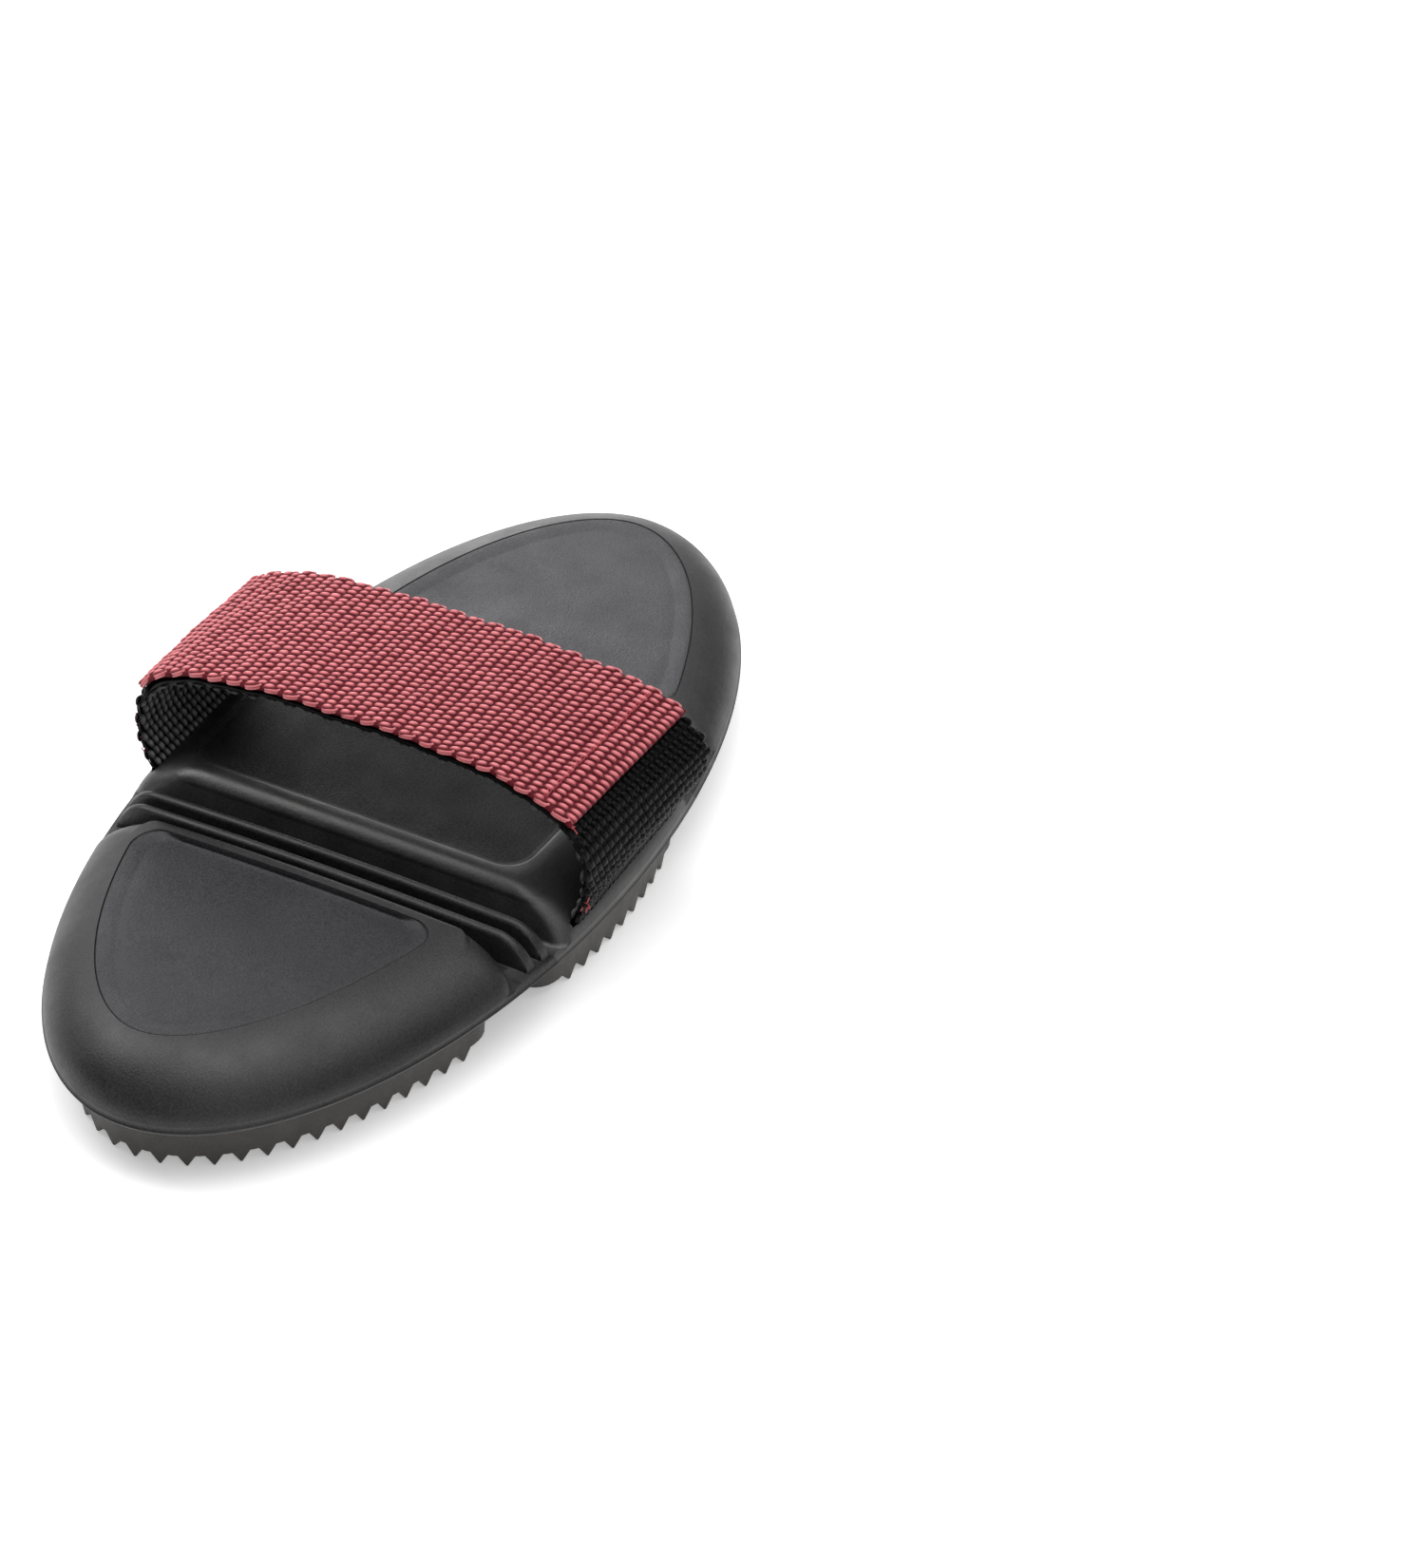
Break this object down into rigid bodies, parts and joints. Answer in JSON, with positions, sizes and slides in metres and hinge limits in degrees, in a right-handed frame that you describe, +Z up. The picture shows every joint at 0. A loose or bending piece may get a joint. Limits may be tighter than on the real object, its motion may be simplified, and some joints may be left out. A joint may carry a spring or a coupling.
{
  "type": "curry brush",
  "caption": "Flexible oval rubber curry brush with toothed ridges underneath, two bending bands and a webbing hand strap.",
  "frame": {"origin": "on the floor under the middle of the brush, with the tooth tips at Z = 0", "axes": "+X along the brush towards the rear lobe, +Y across it along the hand strap, +Z up from the teeth to the back"},
  "size_m": [0.19, 0.0947, 0.0442],
  "materials": {
    "rubber": "satin black moulded rubber, grained on the sunk panels",
    "black_webbing": "woven polypropylene webbing",
    "pink_webbing": "woven polypropylene webbing",
    "pink_thread": "sewing thread"
  },
  "bodies": {
    "middle": {"middle_block": "rubber", "front_bellows": "rubber", "rear_bellows": "rubber", "strap_webbing": "black_webbing", "strap_facing": "pink_webbing", "left_stitches": "pink_thread", "right_stitches": "pink_thread"},
    "front": {"front_lobe": "rubber"},
    "rear": {"rear_lobe": "rubber"}
  },
  "joints": [
    {"name": "front_flex", "type": "hinge", "parent": "middle", "child": "front", "pos_m": [-0.0301, 0, 0.011], "axis": [0, 1, 0], "range_deg": [-25, 15], "stiffness_Nm_per_rad": 0.15, "deforming": ["front_bellows"]},
    {"name": "rear_flex", "type": "hinge", "parent": "middle", "child": "rear", "pos_m": [0.0301, 0, 0.011], "axis": [0, -1, 0], "range_deg": [-25, 15], "stiffness_Nm_per_rad": 0.15, "deforming": ["rear_bellows"]}
  ]
}
